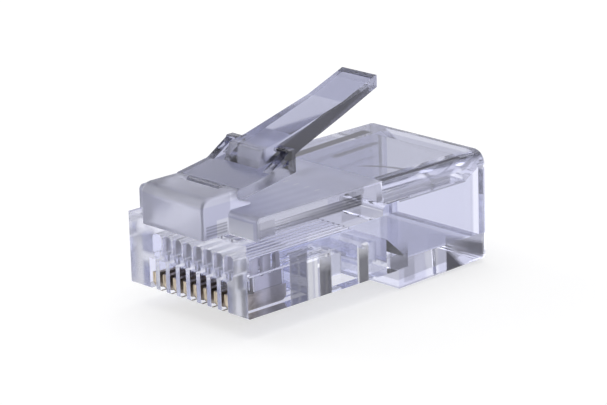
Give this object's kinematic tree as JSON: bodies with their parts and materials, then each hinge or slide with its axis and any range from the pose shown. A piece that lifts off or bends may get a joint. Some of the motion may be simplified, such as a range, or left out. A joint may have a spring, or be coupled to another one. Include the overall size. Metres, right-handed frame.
{
  "type": "modular plug",
  "caption": "Clear modular plug for twisted-pair cable: a flat moulded housing with blade contacts along its front, a hollow cable entry behind and a long sprung latch tab on top.",
  "frame": {"origin": "middle of the housing's lower front edge, in the plane of the contact face", "axes": "+Y from the front face to the cable entry, +Z from the contact face towards the latch tab, X across the contacts"},
  "size_m": [0.0116, 0.0237, 0.0138],
  "materials": {
    "clear_plastic": "clear moulded polycarbonate, polished outside, with a fine frosted texture on the nose, the top of the contact end and the latch tab",
    "contact_metal": "stamped copper alloy, nickel plated, with a thin gold layer on the crest"
  },
  "bodies": {
    "plug_body": {"housing": "clear_plastic", "contact_1": "contact_metal", "contact_2": "contact_metal", "contact_3": "contact_metal", "contact_4": "contact_metal", "contact_5": "contact_metal", "contact_6": "contact_metal", "contact_7": "contact_metal", "contact_8": "contact_metal"},
    "latch": {"latch_tab": "clear_plastic"}
  },
  "joints": [
    {"name": "latch_hinge", "type": "hinge", "parent": "plug_body", "child": "latch", "pos_m": [0, 0.00225, 0.00742], "axis": [1, 0, 0], "range_deg": [-12.5, 0], "stiffness_Nm_per_rad": 0.3}
  ]
}
